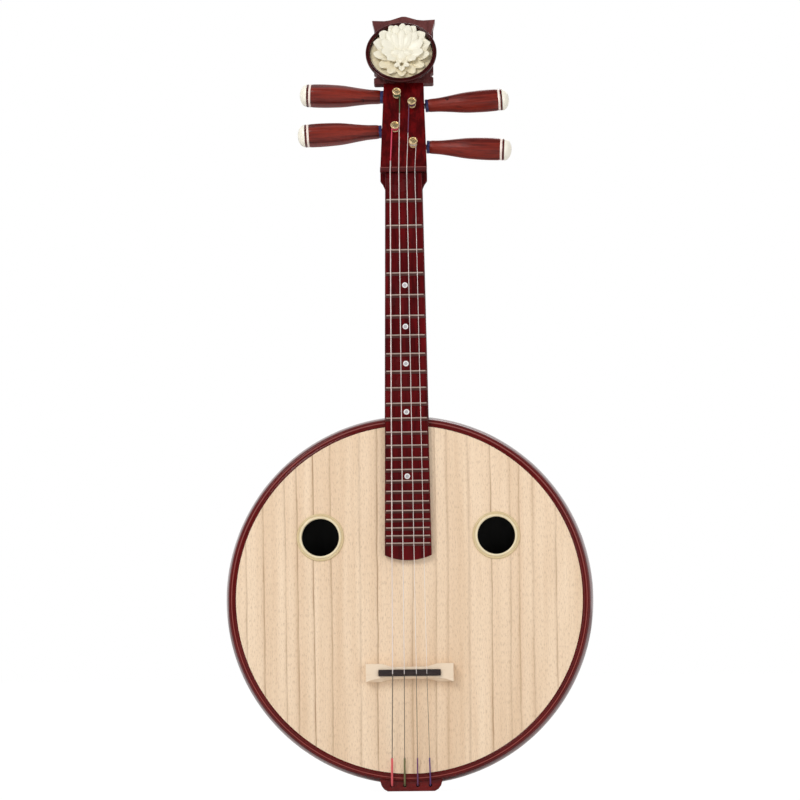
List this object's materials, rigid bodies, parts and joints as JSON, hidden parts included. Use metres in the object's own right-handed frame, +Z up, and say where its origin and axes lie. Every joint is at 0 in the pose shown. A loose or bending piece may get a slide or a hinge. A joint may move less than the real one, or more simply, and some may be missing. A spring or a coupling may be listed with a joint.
{
  "type": "zhongruan",
  "caption": "round-bodied plucked lute with a raised fretted fingerboard, floating bridge, leaning peg head with worm-geared tuning pegs and a carved flower finial",
  "frame": {"origin": "centre of the tail block's flat foot, at the lowest point of the instrument", "axes": "+Z up the neck, -Y out of the soundboard, +X to the right as seen from the front"},
  "size_m": [0.474, 0.1255, 1.03],
  "materials": {
    "red_lacquer": "dark red lacquered hardwood, glossy",
    "paulownia": "bare paulownia, matt, straight grain",
    "spruce": "bare spruce",
    "bone": "polished bone substitute",
    "fret_nickel": "nickel alloy, polished crest",
    "maple": "pale bare hardwood",
    "ebony": "black hardwood, satin",
    "rosewood": "red-brown hardwood, satin lacquer",
    "carved_ivory": "ivory coloured, carved and polished",
    "worm_steel": "turned steel",
    "post_brass": "gold plated brass",
    "string_wire": "steel wire, silk wrapped at its ends"
  },
  "bodies": {
    "root": {"rim": "red_lacquer", "soundboard": "paulownia", "back_board": "paulownia", "soundboard_brace": "spruce", "soundhole_ring_left": "bone", "soundhole_ring_right": "bone", "tail_block": "red_lacquer", "neck": "red_lacquer", "head_back_cover": "red_lacquer", "fingerboard": "red_lacquer", "fret_01": "fret_nickel", "fret_02": "fret_nickel", "fret_03": "fret_nickel", "fret_04": "fret_nickel", "fret_05": "fret_nickel", "fret_06": "fret_nickel", "fret_07": "fret_nickel", "fret_08": "fret_nickel", "fret_09": "fret_nickel", "fret_10": "fret_nickel", "fret_11": "fret_nickel", "fret_12": "fret_nickel", "fret_13": "fret_nickel", "fret_14": "fret_nickel", "fret_15": "fret_nickel", "fret_16": "fret_nickel", "fret_17": "fret_nickel", "fret_18": "fret_nickel", "fret_19": "fret_nickel", "fret_20": "fret_nickel", "fret_21": "fret_nickel", "fret_22": "fret_nickel", "fret_23": "fret_nickel", "fret_24": "fret_nickel", "nut": "red_lacquer", "bridge": "maple", "bridge_saddle": "ebony", "head_crest": "red_lacquer", "head_disc": "red_lacquer", "head_flower": "carved_ivory", "string_1": "string_wire", "string_2": "string_wire", "string_3": "string_wire", "string_4": "string_wire"},
    "peg_1": {"worm_shaft_1": "worm_steel", "peg_handle_1": "rosewood", "peg_cap_1": "carved_ivory"},
    "post_1": {"string_post_1": "post_brass"},
    "peg_2": {"worm_shaft_2": "worm_steel", "peg_handle_2": "rosewood", "peg_cap_2": "carved_ivory"},
    "post_2": {"string_post_2": "post_brass"},
    "peg_3": {"worm_shaft_3": "worm_steel", "peg_handle_3": "rosewood", "peg_cap_3": "carved_ivory"},
    "post_3": {"string_post_3": "post_brass"},
    "peg_4": {"worm_shaft_4": "worm_steel", "peg_handle_4": "rosewood", "peg_cap_4": "carved_ivory"},
    "post_4": {"string_post_4": "post_brass"}
  },
  "joints": [
    {"name": "peg_1_turn", "type": "hinge", "parent": "root", "child": "peg_1", "pos_m": [-0.00853, 0.02539, 0.91248], "axis": [-0.999, 0.0155, 0.0426], "continuous": true},
    {"name": "post_1_turn", "type": "hinge", "parent": "root", "child": "post_1", "pos_m": [-0.0089, 0.00665, 0.91068], "axis": [0, -0.9397, 0.342], "continuous": true},
    {"name": "peg_2_turn", "type": "hinge", "parent": "root", "child": "peg_2", "pos_m": [0.01058, 0.02005, 0.8978], "axis": [0.9971, 0.0262, 0.0721], "continuous": true},
    {"name": "post_2_turn", "type": "hinge", "parent": "root", "child": "post_2", "pos_m": [0.0112, 0.00131, 0.89603], "axis": [0, -0.9397, 0.342], "continuous": true},
    {"name": "peg_3_turn", "type": "hinge", "parent": "root", "child": "peg_3", "pos_m": [-0.01157, 0.00733, 0.86286], "axis": [-0.999, -0.0155, -0.0426], "continuous": true},
    {"name": "post_3_turn", "type": "hinge", "parent": "root", "child": "post_3", "pos_m": [-0.0112, -0.01141, 0.86107], "axis": [0, -0.9397, 0.342], "continuous": true},
    {"name": "peg_4_turn", "type": "hinge", "parent": "root", "child": "peg_4", "pos_m": [0.01318, -0.00122, 0.83936], "axis": [0.9982, -0.0203, -0.0557], "continuous": true},
    {"name": "post_4_turn", "type": "hinge", "parent": "root", "child": "post_4", "pos_m": [0.0127, -0.01996, 0.83758], "axis": [0, -0.9397, 0.342], "continuous": true}
  ],
  "couplings": [
    {"joint": "post_1_turn", "follows": "peg_1_turn", "ratio": -0.083333},
    {"joint": "post_2_turn", "follows": "peg_2_turn", "ratio": 0.083333},
    {"joint": "post_3_turn", "follows": "peg_3_turn", "ratio": -0.083333},
    {"joint": "post_4_turn", "follows": "peg_4_turn", "ratio": 0.083333}
  ]
}
